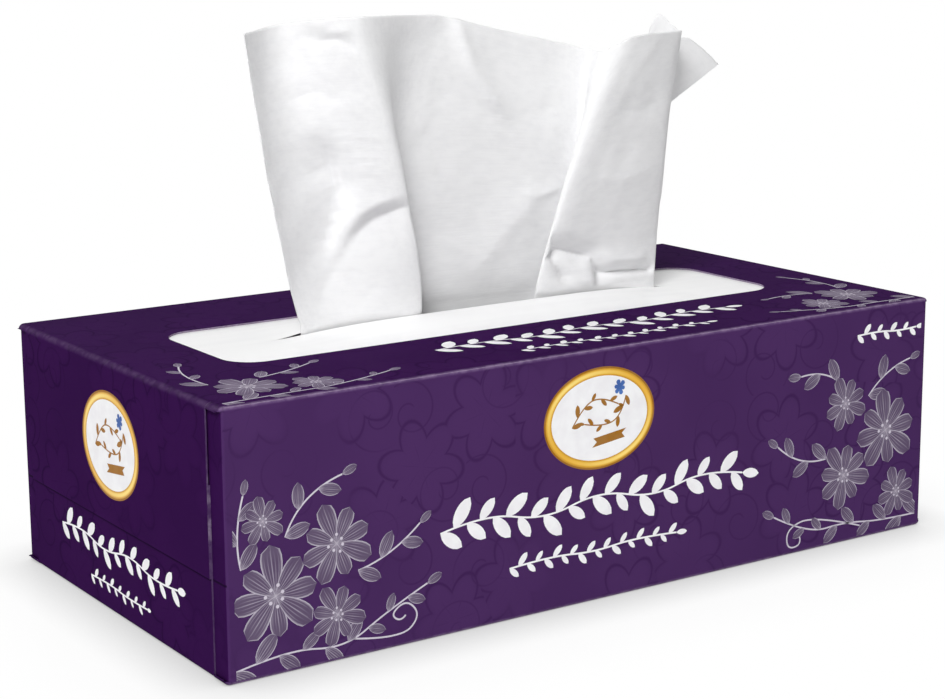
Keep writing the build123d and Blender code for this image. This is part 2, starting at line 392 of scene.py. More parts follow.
# raised tissue: fold rows are along the slit, across the slit, along the free edge, depth, as shares
tissueShape = {
    "folds": (
        (-0.82, -0.10, -1.09, -0.60), (-0.70, -0.20, -0.86, 0.50), (-0.35, -1.05, -0.72, -0.85),
        (-0.30, -0.72, -0.64, -0.90), (-0.35, -0.35, -0.53, -0.68), (-0.48, -0.12, -0.41, -0.35),
        (-0.53, 0.14, -0.28, -0.08), (-0.48, 0.40, -0.14, 0.03), (0.03, 0.70, 0.06, 0.02),
        (0.44, 0.62, 0.34, 0.00), (0.49, 0.32, 0.46, -0.06), (0.44, 0.00, 0.53, -0.24),
        (0.26, -0.22, 0.57, -0.62), (0.21, -0.55, 0.63, -0.95), (0.26, -0.90, 0.74, -0.95),
        (0.82, -0.36, 0.97, -0.45), (0.87, -0.05, 0.99, -0.05), (0.83, 0.12, 0.96, 0.30),
        (0.58, 0.24, 0.84, 0.55), (0.66, 0.58, 1.28, 0.75),
    ),
    "freeEdge": (  # place across the sheet and height, as shares
        (0.00, 0.964), (0.06, 0.969), (0.09, 0.980), (0.12, 0.993), (0.15, 1.002), (0.20, 1.004),
        (0.27, 0.999), (0.36, 0.991), (0.39, 0.975), (0.42, 0.947), (0.45, 0.914), (0.48, 0.885),
        (0.51, 0.867), (0.54, 0.856), (0.60, 0.849), (0.63, 0.847), (0.66, 0.871), (0.69, 0.895),
        (0.72, 0.902), (0.81, 0.898), (0.84, 0.925), (0.865, 0.959), (0.895, 0.871), (0.925, 0.863),
        (0.935, 0.830), (0.945, 0.801), (0.955, 0.781), (0.965, 0.768), (0.98, 0.760), (1.00, 0.759),
    ),
    "slitHalf": 72.0, "slitOpening": 5.2, "pleatDepth": 13.0, "flagStart": 0.44, "flagEnd": 0.73,
    "leftFolds": 2,  # these folds at the left spread sooner
    "leftSpread": 0.8, "spread": 1.35, "opening": 0.75,  # powers of the height share
    "slitLevel": 70.9, "rise": 84.0, "topLevel": 153.68, "gathering": 1.5,
    "stackTop": 54.0, "tailLength": 44.0, "tailWidth": 202.0,
    "tailRest": 0.15, "tailBend": 0.3, "tailShift": 0.01,
    "thick": 0.25, "columns": 270, "rows": 150, "neckRows": 10, "tailRows": 4, "turnRows": 6,
    "creaseStart": (0.3, 3.0),  # creases begin this far above the slit, and are full after this much more
    "crumples": ((0.36, 15, 15, 3.7), (0.144, 5, 6, 8.1)),  # size, length along, length up, layer of noise
    "ripple": 0.045, "ripplePitch": 2.3, "rippleRange": (0.05, 0.2),
    "ripplePlace": (-44, 114), "rippleReach": (6, 9),
}
# creases: path along and up, range across the sheet, depth to the front, reach left and right of the path
tissueCreases = (
    (((-25, 101), (-32, 100.4), (-38.6, 97.9), (-43.2, 93.9), (-47.4, 85.9), (-55.5, 72)),
     (0.03, 0.21), -2.0, (18, 4)),
    (((-30, 105), (-38, 102.5), (-43.5, 98.5), (-48, 91), (-54, 79)), (0.03, 0.20), 0.9, (4, 8)),
    (((-54, 124), (-49, 114), (-46.5, 107), (-47, 100), (-49, 91), (-54, 76)), (0.0, 0.17), -4.2, (5, 14)),
    (((-47, 86), (-41, 80), (-36, 76)), (0.05, 0.20), -0.6, (7, 7)),
    (((-9, 152), (-7.3, 146.4), (-3.1, 136.4), (4, 127.5), (12, 119.5)), (0.34, 0.50), 1.7, (9, 5)),
    (((-4, 76), (8, 88), (22.4, 101.4)), (0.37, 0.52), 1.2, (16, 12)),
    (((13, 100.6), (21, 98.4), (30, 101)), (0.42, 0.53), 0.6, (5, 4)),
    (((14, 85), (21, 83.7), (28.5, 82), (34, 80.3), (42, 78.6)), (0.655, 0.79), -3.4, (7, 5)),
    (((19.5, 84.5), (21.5, 80.4), (24.2, 76.9), (28, 72)), (0.66, 0.76), -1.8, (5, 3.5)),
    (((33.5, 81), (35, 77), (35.6, 73.5), (36, 68)), (0.69, 0.77), 1.8, (2.6, 7)),
    (((36.5, 80), (37.8, 76.5), (38.8, 73), (39.5, 67)), (0.69, 0.77), -2.8, (6, 2.6)),
    (((36, 74.8), (44, 74.4), (51, 74), (59, 73.2), (66, 72.5)), (0.71, 0.80), -2.4, (3.5, 2.2)),
    (((34, 80), (42, 78.8), (50, 78), (60, 77.4)), (0.705, 0.78), 1.2, (6, 3.5)),
    (((-58, 149), (-54, 146), (-50, 146.5), (-45, 143)), (0.09, 0.19), -0.6, (4, 3)),
    (((-55, 152), (-52, 148.5), (-47, 149)), (0.09, 0.20), 0.5, (3, 3)),
    (((-62, 130), (-53, 133), (-46, 129)), (0.07, 0.16), -0.4, (6, 4)),
    (((34, 104), (44, 102), (58, 105)), (0.66, 0.80), 0.5, (9, 9)),
    (((40, 123), (50, 121), (62, 125)), (0.66, 0.80), -0.4, (8, 6)),
    (((20, 128), (28, 118), (31, 106)), (0.45, 0.56), -0.5, (8, 8)),
    (((-22, 122), (-14, 112), (-9, 98)), (0.36, 0.45), -0.4, (8, 8)),
)
tissueLook = {"paper": (0.90, 0.90, 0.905, 1), "thin": (0.84, 0.84, 0.85, 1), "across": 206.0, "along": 190.0}


def foldPoint(shape, number, share):
    along, across, edgeAlong, depth = shape["folds"][number]
    spread = share ** shape["leftSpread" if number < shape["leftFolds"] else "spread"]
    if number == len(shape["folds"]) - 1:  # the corner that hangs out to the right
        spread = max(0.0, (share - shape["flagStart"]) / (shape["flagEnd"] - shape["flagStart"]))
    openOut = share ** shape["opening"]
    x = shape["slitHalf"] * (along + (edgeAlong - along) * spread)
    y = shape["slitOpening"] * across * (1 - openOut) + shape["pleatDepth"] * depth * openOut
    return x, y


def foldPlace(shape, across, share):  # a place on the pleated line, from 0 at the left to 1 at the right
    last = len(shape["folds"]) - 1
    spans = last + 2
    first = min(int(across * spans), spans - 1)
    t = across * spans - first
    steer = [foldPoint(shape, min(last, max(0, first + k - 2)), share) for k in range(4)]
    weights = ((1 - t) ** 3, 3 * t ** 3 - 6 * t ** 2 + 4, 1 + 3 * t + 3 * t ** 2 - 3 * t ** 3, t ** 3)
    return [sum(w * p[k] for w, p in zip(weights, steer)) / 6 for k in (0, 1)]


def edgeShare(shape, across):  # height share that the free edge reaches at a place across the sheet
    rows = shape["freeEdge"]
    k = next(i for i in range(1, len(rows)) if across <= rows[i][0])
    (start, low), (end, high) = rows[k - 1], rows[k]
    height = low + (high - low) * (across - start) / (end - start)
    level = box["height"] + shape["rise"] * height
    return (level - shape["slitLevel"]) / (shape["topLevel"] - shape["slitLevel"])


def sheetLine(shape, across):  # one line of the sheet, from the end of its tail up to the free edge
    low, high, stackTop, tail = (shape[key] for key in ("slitLevel", "topLevel", "stackTop", "tailLength"))
    rest, bend, tailRows, turnRows = (shape[key] for key in ("tailRest", "tailBend", "tailRows", "turnRows"))
    neckStart = stackTop + rest + 2 * bend
    flatX = shape["tailWidth"] * (across - 0.5)
    line = []
    for j in range(tailRows + 1):  # lower layer of the tail
        line.append((flatX, tail * j / tailRows, stackTop + rest))
    for j in range(1, turnRows):
        angle = math.pi * (j / turnRows - 0.5)
        line.append((flatX, tail + bend * math.cos(angle), stackTop + rest + bend + bend * math.sin(angle)))
    for j in range(tailRows + 1):  # upper layer, back to the neck
        line.append((flatX, tail * (1 - j / tailRows) + shape["tailShift"], neckStart))
    x, y = foldPlace(shape, across, 0)
    for j in range(1, shape["neckRows"] + 1):  # the neck, gathered towards the slit
        share = j / shape["neckRows"]
        gather = sCurve(share * shape["gathering"])
        line.append((flatX + (x - flatX) * gather, y * gather, neckStart + (low - neckStart) * share))
    for j in range(1, shape["rows"] + 1):
        share = edgeShare(shape, across) * j / shape["rows"]
        x, y = foldPlace(shape, across, share)
        line.append((x, y, low + (high - low) * share))
    return [Vector(place) for place in line]


def creaseLift(crease, across, x, z):  # how far one crease moves a point of the sheet to the front
    path, (first, last), depth, reaches = crease
    if not first < across < last:
        return 0.0
    nearest = None
    for k, ((x0, z0), (x1, z1)) in enumerate(zip(path, path[1:])):
        run, rise = x1 - x0, z1 - z0
        t = min(1.0, max(0.0, ((x - x0) * run + (z - z0) * rise) / (run * run + rise * rise)))
        away = math.hypot(x - x0 - t * run, z - z0 - t * rise)
        if nearest is None or away < nearest[0]:
            nearest = away, run * (z - z0) - rise * (x - x0), (k + t) / (len(path) - 1)
    away, side, share = nearest
    fade = sCurve(4 * share) * sCurve(4 - 4 * share)  # at the ends of the path, then at the ends of the range
    fade *= sCurve(50 * (across - first)) * sCurve(50 * (last - across))
    return depth * fade * max(0.0, 1 - away / reaches[0 if side > 0 else 1]) ** 2


def crumpleLift(shape, across, reach, x, z):  # uneven paper, with fine ripples on the left panel
    lift = 0.0
    for size, along, up, layer in shape["crumples"]:
        lift += size * noise.noise((reach / along, z / up, layer))
    first, last = shape["rippleRange"]
    if first < across < last:
        (midX, midZ), (wide, tall) = shape["ripplePlace"], shape["rippleReach"]
        wavy = sCurve(1.6 - abs(x - midX) / wide) * sCurve(1.6 - abs(z - midZ) / tall)
        drift = 5 * noise.noise((reach / 5, z / 7, 1.3))
        lift += wavy * shape["ripple"] * math.sin(z * shape["ripplePitch"] + drift)
    return lift


def makeTissue(shape, finish):
    columns, rows = shape["columns"], shape["rows"]
    lines = [sheetLine(shape, i / columns) for i in range(columns + 1)]
    count = len(lines[0])
    middle = count - rows // 2
    reach = [0.0]
    for left, right in zip(lines, lines[1:]):
        reach.append(reach[-1] + (right[middle] - left[middle]).length)
    start, full = shape["creaseStart"]
    creased = [line[:] for line in lines]
    for i in range(columns + 1):
        across = i / columns
        for j in range(count - rows, count):
            here = lines[i][j]
            over = lines[min(columns, i + 1)][j] - lines[max(0, i - 1)][j]
            upward = lines[i][min(count - 1, j + 1)] - lines[i][j - 1]
            lift = sum(creaseLift(crease, across, here.x, here.z) for crease in tissueCreases)
            lift += crumpleLift(shape, across, reach[i], here.x, here.z)
            lift *= sCurve((here.z - shape["slitLevel"] - start) / full)
            creased[i][j] = here + over.cross(upward).normalized() * lift
    points = [place * mm for line in creased for place in line]
    faces = []
    for i in range(columns):
        for j in range(count - 1):
            a = i * count + j
            faces.append((a, a + count, a + count + 1, a + 1))
    piece = newPiece("tissue_sheet", points, faces, finish)
    centre, length = lines[columns // 2], [0.0]
    for below, above in zip(centre, centre[1:]):
        length.append(length[-1] + (above - below).length)
    marks = piece.data.uv_layers.new(name="UVMap")  # place on the flat sheet, as shares
    for loop, mark in zip(piece.data.loops, marks.data):
        mark.uv = (loop.vertex_index // count / columns, length[loop.vertex_index % count] / length[-1])
    addWall(piece, shape["thick"], 0)
    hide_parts("raised_tissue")
    return piece


def crepeFinish(look):  # crepe lines across the sheet and cloudy fibres, in the sheet's own UV map
    finish, flow, shader = newFinish("tissue", Specular_IOR_Level=0.15)
    spot = flow.split(flow.place("UV"))
    u, v = look["across"] * spot.out("X"), look["along"] * spot.out("Y")
    crepe = flow.cloud(flow.triple(0.30 * u, 1.9 * v, 0.0), 1.0, 3.0)
    fibre = flow.cloud(flow.triple(0.55 * u, 0.55 * v, 2.0), 1.0, 5.0)
    cloud = flow.cloud(flow.triple(0.06 * u, 0.06 * v, 5.0), 1.0, 2.0)
    tone = 0.45 * fibre + 0.35 * cloud + 0.20 * crepe
    feed(shader, "Base Color", tone.ease(0.30, 0.62).blend(look["thin"], look["paper"]))
    feed(shader, "Roughness", 0.82 + 0.16 * fibre)
    feed(shader, "Normal", flow.bump(0.7 * crepe + 0.3 * fibre, 0.35, 0.0002))
    return finish


tissueSheet = makeTissue(tissueShape, crepeFinish(tissueLook))
print("tissue ready")

# printed ornament: each panel's matrix takes the panel's own along, up and layer to the box
inkLook = {
    "dim": (0.075, 0.042, 0.105, 1), "pale": (0.62, 0.58, 0.66, 1),
    "whiteShade": (0.87, 0.86, 0.88, 1), "white": (0.93, 0.93, 0.94, 1),
    "gold": (0.78, 0.42, 0.03, 1), "goldHighlight": (0.98, 0.74, 0.20, 1), "goldShadeAndBrown": (0.34, 0.14, 0.01, 1),
    "brown": (0.36, 0.17, 0.04, 1), "blueShade": (0.06, 0.13, 0.38, 1), "blue": (0.10, 0.22, 0.55, 1),
    "layer": 0.010, "weld": 0.0004,
}
endPlace = box["length"] / 2
panels = {
    "front": Matrix(((1, 0, 0, 0), (0, 0, -1, -box["width"] / 2), (0, 1, 0, 0), (0, 0, 0, 1))),
    "top": Matrix(((1, 0, 0, 0), (0, 1, 0, 0), (0, 0, 1, box["height"]), (0, 0, 0, 1))),
    "endUpper": Matrix(((0, 0, -1, -endPlace), (-1, 0, 0, 0), (0, 1, 0, 0), (0, 0, 0, 1))),
    "endLower": Matrix(((0, 0, -1, box["board"] - endPlace), (-1, 0, 0, 0), (0, 1, 0, 0), (0, 0, 0, 1))),
}
panelEdges = {  # left, right, low and high limits of the print
    "front": (-112, 112, 1, 67), "top": (-112, 112, -59, 59),
    "endUpper": (-53, 53, 25.5, 66), "endLower": (-53, 53, 2, 24.5),
}


def newTree(name, sizes):  # a node tree with named sizes and a finish
    tree = bpy.data.node_groups.new(name, "GeometryNodeTree")
    tree.interface.new_socket(name="Geometry", in_out="INPUT", socket_type="NodeSocketGeometry")
    for key, value in sizes.items():
        kind = "NodeSocketInt" if isinstance(value, int) else "NodeSocketFloat"
        tree.interface.new_socket(name=key, in_out="INPUT", socket_type=kind).default_value = value
    tree.interface.new_socket(name="Finish", in_out="INPUT", socket_type="NodeSocketMaterial")
    tree.interface.new_socket(name="Geometry", in_out="OUTPUT", socket_type="NodeSocketGeometry")
    flow = Flow(tree)
    return tree, flow, flow.add("NodeGroupInput")


def endTree(flow, given, shape):
    real = flow.add("GeometryNodeRealizeInstances", inputs={0: shape})
    painted = flow.add("GeometryNodeSetMaterial", inputs={"Geometry": real, "Material": given.out("Finish")})
    flow.add("NodeGroupOutput", inputs={0: painted})


def petalShape(flow, columns, rows, length, width, rise, fall):  # a flat petal or leaf along Y, with UV
    cells = {"Size X": 1.0, "Size Y": 1.0, "Vertices X": columns, "Vertices Y": rows}
    grid = flow.add("GeometryNodeMeshGrid", inputs=cells)
    marked = flow.add(
        "GeometryNodeStoreNamedAttribute", {"data_type": "FLOAT2", "domain": "CORNER"},
        {"Geometry": grid, "Name": "UVMap", "Value": grid.out("UV Map")})
    spot = flow.split(flow.add("GeometryNodeInputPosition"))
    share = flow.calc("MINIMUM", flow.calc("MAXIMUM", spot.out("Y") + 0.5, 0.0), 1.0)
    peak = (rise / (rise + fall)) ** rise * (fall / (rise + fall)) ** fall
    half = share ** rise * (1 - share) ** fall * (1 / peak) * width
    return flow.move(marked, Position=flow.triple(spot.out("X") * half, share * length, 0.0))


def blossomTree():  # petals round each given point, whose size and turn are attributes
    tree, flow, given = newTree("blossom", {"Petals": 8, "Petal width": 0.46, "Stamens": 7, "Layer": 0.001})
    petal = petalShape(flow, 7, 9, 1.0, given.out("Petal width"), 0.95, 0.42)
    index = flow.add("GeometryNodeInputIndex")
    odd = flow.calc("MODULO", index, 2.0)
    step = 2 * math.pi / given.out("Petals")
    heart = flow.add("GeometryNodeMeshLine", inputs={"Count": given.out("Petals"), "Offset": (0, 0, 0)})
    heart = flow.move(heart, Offset=flow.triple(0.0, 0.0, odd * given.out("Layer")))
    size = 0.90 + 0.10 * flow.calc("COSINE", index * 2.4)
    ring = flow.scatter(heart, petal, index * step, flow.triple(size, size, 1.0))
    seeds = flow.add("GeometryNodeMeshLine", inputs={"Count": given.out("Stamens"), "Offset": (0, 0, 0)})
    turn = index * (2 * math.pi / given.out("Stamens")) + 0.3
    reach = 0.16 + 0.05 * odd
    along, up = reach * flow.calc("COSINE", turn), reach * flow.calc("SINE", turn)
    seeds = flow.move(seeds, Position=flow.triple(along, up, 2.0 * given.out("Layer")))
    dot = flow.add("GeometryNodeMeshCircle", {"fill_type": "NGON"}, {"Vertices": 8, "Radius": 0.038})
    dots = flow.add("GeometryNodeInstanceOnPoints", inputs={"Points": seeds, "Instance": dot})
    turnAt = flow.add("GeometryNodeInputNamedAttribute", {"data_type": "FLOAT"}, {"Name": "turn"})
    sizeAt = flow.add("GeometryNodeInputNamedAttribute", {"data_type": "FLOAT"}, {"Name": "size"})
    endTree(flow, given, flow.scatter(given, flow.join(ring, dots), turnAt, sizeAt))
    return tree


def sprigTree():  # leaves to the left and right along each given stem, smaller towards its tip
    tree, flow, given = newTree("sprig", {
        "Spacing": 5.0, "Leaf length": 8.0, "Leaf width": 3.6, "Leaf angle": 0.75,
        "Taper": 0.5, "Stem width": 0.35, "Layer": 0.01,
    })
    leaf = petalShape(flow, 5, 8, given.out("Leaf length"), given.out("Leaf width"), 0.75, 0.70)
    stem = flow.add("GeometryNodeSetCurveNormal", {"mode": "Z_UP"}, {0: given})
    rims = [flow.triple(half * given.out("Stem width"), 0.0, 0.0) for half in (-0.5, 0.5)]
    profile = flow.add("GeometryNodeCurvePrimitiveLine", inputs={"Start": rims[0], "End": rims[1]})
    ribbon = flow.add("GeometryNodeCurveToMesh", inputs={0: stem, 1: profile})
    spaced = {"Curve": given, "Length": given.out("Spacing")}
    nodesAt = flow.add("GeometryNodeResampleCurve", {"mode": "LENGTH"}, spaced)
    run = flow.split(flow.add("GeometryNodeInputTangent"))
    index = flow.add("GeometryNodeInputIndex")
    side = 2.0 * flow.calc("MODULO", index, 2.0) - 1
    part = flow.add("GeometryNodeSplineParameter", out="Factor")
    tip = part.ease(0.985, 0.995)
    lean = side * given.out("Leaf angle") * (1 - tip)
    angle = flow.calc("ARCTAN2", run.out("Y"), run.out("X")) - math.pi / 2 + lean
    size = (1 - given.out("Taper") * part) * (0.92 + 0.12 * flow.calc("SINE", index * 1.7))
    lifted = flow.move(nodesAt, Offset=flow.triple(0.0, 0.0, given.out("Layer") * (1 + 0.5 * side)))
    leaves = flow.scatter(lifted, leaf, angle, flow.triple(size, size, 1.0))
    endTree(flow, given, flow.join(ribbon, leaves))
    return tree


def grow(data, tree, finish, sizes):  # run a tree on points or a curve, and keep the result as a plain mesh
    holder = bpy.data.objects.new("work", data)
    scene.collection.objects.link(holder)
    step = holder.modifiers.new("grow", "NODES")
    step.node_group = tree
    for item in tree.interface.items_tree:
        if item.in_out == "INPUT" and item.name in sizes:
            step[item.identifier] = sizes[item.name]
        if item.in_out == "INPUT" and item.name == "Finish":
            step[item.identifier] = finish
    graph = bpy.context.evaluated_depsgraph_get()
    mesh = bpy.data.meshes.new_from_object(holder.evaluated_get(graph))
    mesh.materials.clear()
    mesh.materials.append(finish)
    holder.modifiers.remove(step)
    bpy.data.objects.remove(holder)
    return mesh


def flowerPoints(rows, layer):  # along, up, size, turn
    mesh = bpy.data.meshes.new("flowers")
    mesh.from_pydata([(row[0], row[1], layer * (1 + i)) for i, row in enumerate(rows)], [], [])
    for name, column in (("size", 2), ("turn", 3)):
        mesh.attributes.new(name, "FLOAT", "POINT").data.foreach_set("value", [row[column] for row in rows])
    return mesh


def stemCurve(paths, layer):
    curve = bpy.data.curves.new("stems", "CURVE")
    curve.dimensions = "3D"
    curve.resolution_u = 10
    for path in paths:
        spline = curve.splines.new("NURBS")
        spline.points.add(len(path) - 1)
        for point, (a, b) in zip(spline.points, path):
            point.co = (a, b, layer, 1)
        spline.order_u = 3
        spline.use_endpoint_u = True
    return curve


def printOn(name, panel, parts):  # flat meshes go on a panel and, but for the top's, on the one opposite
    work = bmesh.new()
    finishes = []
    for mesh in parts:
        kept = len(work.faces)
        work.from_mesh(mesh)
        work.faces.ensure_lookup_table()
        if mesh.materials[0] not in finishes:
            finishes.append(mesh.materials[0])
        for face in work.faces[kept:]:
            face.material_index = finishes.index(mesh.materials[0])
    bmesh.ops.remove_doubles(work, verts=work.verts, dist=inkLook["weld"])
    left, right, low, high = panelEdges[panel]
    sideCuts = ((left, 0, 0), (-1, 0, 0)), ((right, 0, 0), (1, 0, 0))
    levelCuts = ((0, low, 0), (0, -1, 0)), ((0, high, 0), (0, 1, 0))
    for place, away in sideCuts + levelCuts:
        everything = work.verts[:] + work.edges[:] + work.faces[:]
        bmesh.ops.bisect_plane(work, geom=everything, plane_co=place, plane_no=away, clear_outer=True)
    work.normal_update()
    for face in work.faces:
        if face.normal.z < 0:
            face.normal_flip()
    mesh = bpy.data.meshes.new(name)
    work.to_mesh(mesh)
    work.free()
    mesh.transform(Matrix.Scale(mm, 4) @ panels[panel])
    for finish in finishes:
        mesh.materials.append(finish)
    for suffix, turn in (("", 0.0), ("_far", math.pi))[:1 if panel == "top" else 2]:
        copy = mesh.copy()
        copy.transform(Matrix.Rotation(turn, 4, "Z"))
        piece = bpy.data.objects.new(name + suffix, copy)
        scene.collection.objects.link(piece)
        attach(piece, "root")


def lineInk(look):  # petals and leaves drawn with pale veins and rims, from their own UV maps
    finish, flow, shader = newFinish("pale_ink", Specular_IOR_Level=0.03)
    spot = flow.split(flow.place("UV"))
    u, v = spot.out("X"), spot.out("Y")
    across = abs(2 * u - 1)
    rim = across.ease(0.74, 0.98)
    veins = flow.calc("COSINE", u * (2 * math.pi * 6)).ease(0.1, 0.95) * (1 - v.ease(0.45, 0.95))
    midrib = 1 - across.ease(0.0, 0.10)
    heart = 1 - v.ease(0.0, 0.30)
    cloud = flow.cloud(flow.place("Object"), 160.0, 2.0)
    tone = 0.10 + 0.16 * cloud + 0.45 * rim + 0.20 * veins + 0.16 * midrib + 0.25 * heart
    feed(shader, "Base Color", tone.ease(0.0, 1.05).blend(look["dim"], look["pale"]))
    feed(shader, "Roughness", 0.42 + 0.10 * cloud)
    return finish


def plainInk(name, low, high, rough):  # a full field of ink, a little uneven
    finish, flow, shader = newFinish(name, Specular_IOR_Level=0.06)
    mottle = flow.cloud(flow.place("Object"), 240.0, 3.0)
    feed(shader, "Base Color", mottle.ease(0.3, 0.7).blend(low, high))
    feed(shader, "Roughness", rough + 0.1 * mottle)
    return finish


def goldInk(look):  # a flat rim painted to look rounded: painted highlight along its middle and on two opposite sides, painted shade at its edges
    finish, flow, shader = newFinish("gold_ink", Specular_IOR_Level=0.25, Metallic=0.1)
    spot = flow.split(flow.place("UV"))
    band, around = spot.out("X"), spot.out("Y")
    # painted highlight on two opposite sides and along the rim's middle, painted shade towards its edges
    paintedShine = 0.5 + 0.5 * flow.calc("COSINE", (around - 0.36) * (4 * math.pi))
    rimMiddle = 1 - abs(2 * band - 1).ease(0.2, 1.0)
    tone = 0.25 + 0.45 * paintedShine * rimMiddle + 0.30 * rimMiddle
    stops = (0.0, look["goldShadeAndBrown"]), (0.5, look["gold"]), (1.0, look["goldHighlight"])
    feed(shader, "Base Color", flow.add("ShaderNodeValToRGB", {"stops": stops}, {0: tone}))
    feed(shader, "Roughness", 0.38 - 0.1 * rimMiddle)
    return finish


paleInk = lineInk(inkLook)
whiteInk = plainInk("white_ink", inkLook["whiteShade"], inkLook["white"], 0.38)
goldFinish = goldInk(inkLook)
brownInk = plainInk("brown_ink", inkLook["goldShadeAndBrown"], inkLook["brown"], 0.36)
blueInk = plainInk("blue_ink", inkLook["blueShade"], inkLook["blue"], 0.36)
blossoms, sprigs = blossomTree(), sprigTree()
layer = inkLook["layer"]

# sprays of blossoms, leafy stems and bare curls in the corners of the front and the top
frontLeaves = {
    "Spacing": 6.0, "Leaf length": 9.0, "Leaf width": 4.4, "Leaf angle": 0.72,
    "Taper": 0.45, "Stem width": 0.45, "Layer": layer,
}
topLeaves = dict(frontLeaves, **{"Leaf length": 7.5, "Leaf width": 3.6})
bareStem = {"Leaf length": 0.02, "Leaf width": 0.02, "Spacing": 90.0, "Stem width": 0.45, "Layer": layer}
sprays = {
    "front_spray_left": {
        "panel": "front", "leaves": frontLeaves,
        "flowers": ((-84, 12, 8.5, 0.5), (-101, 20, 13.0, 0.1), (-84, 30, 11.0, 0.35), (-104, 39, 6.5, 0.2)),
        "stems": (
            ((-113, 3), (-98, 6), (-82, 3), (-70, 10), (-58, 15)), ((-98, 34), (-94, 44), (-82, 47)),
            ((-78, 22), (-68, 24), (-60, 31)), ((-110, 28), (-112, 36), (-109, 46)),
        ),
        "curls": (((-80, 5), (-66, 2), (-60, 7), (-64, 12), (-69, 9), (-66, 6.5), (-64.5, 8)),),
    },
    "front_spray_right": {
        "panel": "front", "leaves": frontLeaves,
        "flowers": ((104, 12, 8.0, 0.3), (83, 20, 10.5, 0.6), (99, 31, 12.5, 0.15), (83, 41, 8.5, 0.4)),
        "stems": (
            ((113, 4), (98, 4), (84, 6), (70, 5), (57, 12)), ((76, 26), (66, 25), (58, 32)),
            ((92, 42), (98, 49), (108, 51)), ((80, 48), (74, 52), (66, 51)),
        ),
        "curls": (((90, 4), (72, 10), (62, 8), (62, 2), (67, 2), (67, 5.5), (64.5, 5.5)),),
    },
    "top_spray_left": {
        "panel": "top", "leaves": topLeaves, "curls": (),
        "flowers": ((-83, -50, 7.0, 0.4), (-99, -45, 10.0, 0.2)),
        "stems": (
            ((-112, -57), (-96, -56), (-78, -56), (-62, -50)), ((-106, -38), (-108, -26), (-103, -16)),
            ((-92, -38), (-82, -36), (-74, -31)),
        ),
    },
    "top_spray_right": {
        "panel": "top", "leaves": topLeaves, "curls": (),
        "flowers": ((84, -49, 7.5, 0.1), (99, -43, 10.0, 0.5)),
        "stems": (
            ((112, -57), (98, -56), (82, -57), (66, -51)), ((104, -34), (108, -24), (103, -13)),
            ((92, -36), (84, -33), (76, -35)),
        ),
    },
}
for name, plan in sprays.items():
    parts = [grow(stemCurve(plan["stems"], layer), sprigs, paleInk, plan["leaves"])]
    if plan["curls"]:
        parts.append(grow(stemCurve(plan["curls"], layer), sprigs, paleInk, bareStem))
    parts.append(grow(flowerPoints(plan["flowers"], 3 * layer), blossoms, paleInk, {"Layer": layer / 12}))
    printOn(name, plan["panel"], parts)
print("sprays ready")

# white leaf garlands: panel, path, then spacing, length and width of the leaves
garlands = {
    "front": (
        "front", ((-54, 27), (-40, 30), (-22, 25), (-4, 30), (14, 25), (31, 30), (45, 27)), (3.9, 8.6, 3.9)),
    "front_small": ("front", ((-33, 14), (-20, 15), (-6, 13.5), (8, 15), (22, 14)), (2.7, 4.2, 1.8)),
    "front_corner": ("front", ((87, 60), (95, 60.5), (103, 59.5), (110, 60)), (2.4, 3.6, 1.7)),
    "top": (
        "top", ((-40, -37), (-24, -35), (-8, -39), (10, -35), (28, -39), (44, -35), (58, -37)),
        (3.9, 8.0, 3.6)),
    "top_small": ("top", ((-22, -50), (-6, -49), (12, -51), (28, -49), (40, -50)), (2.7, 4.0, 1.8)),
    "end": ("endLower", ((-35, 17), (-22, 19), (-8, 15.5), (8, 19), (22, 15.5), (35, 17)), (3.3, 6.4, 3.0)),
    "end_small": ("endLower", ((-17, 7), (-5, 7.6), (6, 6.6), (17, 7)), (2.3, 3.3, 1.5)),
}
for name, (panel, path, leafSizes) in garlands.items():
    sizes = {"Leaf angle": 0.80, "Taper": 0.12, "Stem width": 0.5, "Layer": layer}
    sizes.update(zip(("Spacing", "Leaf length", "Leaf width"), leafSizes))
    printOn("garland_" + name, panel, [grow(stemCurve((path,), layer), sprigs, whiteInk, sizes)])
print("garlands ready")

# oval medals with a gold rim, a sprig, a small flower and a ribbon, whose places are taken from the centre
medalShape = {
    "front": (-4.2, 49.5, 18.0, 13.6), "endUpper": (-0.6, 46.0, 17.0, 14.2),  # centre and half sizes
    "edge": 0.5, "rim": 2.4, "steps": 72,
    "stems": (((-9, -1.5), (-5, 4.5), (1, 5.5), (6, 3)), ((8.5, 5), (7, -0.5), (1, -2.5), (-5, -1))),
    "ribbon": ((-2.5, -7.6), (8.2, -6.2), (7.2, -5.0), (8.6, -3.8), (-2.1, -5.2), (-1.0, -6.3)),
    "flower": (6.4, 7.4, 2.2, 0.3),
    "leaves": {
        "Spacing": 2.6, "Leaf length": 3.6, "Leaf width": 1.5, "Leaf angle": 0.7,
        "Taper": 0.35, "Stem width": 0.35, "Layer": layer,
    },
}


def ovalBand(name, centre, outer, inner, shape, finish):  # a flat ring between two ovals, or a disc
    points, faces, marks = [], [], []
    (a, b), steps = centre, shape["steps"]
    for k in range(steps):
        angle = 2 * math.pi * k / steps
        for half in (outer, inner):
            points.append((a + half[0] * math.cos(angle), b + half[1] * math.sin(angle), layer))
    for k in range(steps):
        p, q = 2 * k, 2 * ((k + 1) % steps)
        faces.append((p, q, q + 1, p + 1))
        marks += [(0, k / steps), (0, (k + 1) / steps), (1, (k + 1) / steps), (1, k / steps)]
    mesh = bpy.data.meshes.new(name)
    mesh.from_pydata(points, [], faces)
    mesh.uv_layers.new(name="UVMap").data.foreach_set("uv", [value for mark in marks for value in mark])
    mesh.materials.append(finish)
    return mesh


def flatShape(name, outline, level, finish):
    mesh = bpy.data.meshes.new(name)
    mesh.from_pydata([(a, b, level) for a, b in outline], [], [tuple(range(len(outline)))])
    mesh.materials.append(finish)
    return mesh


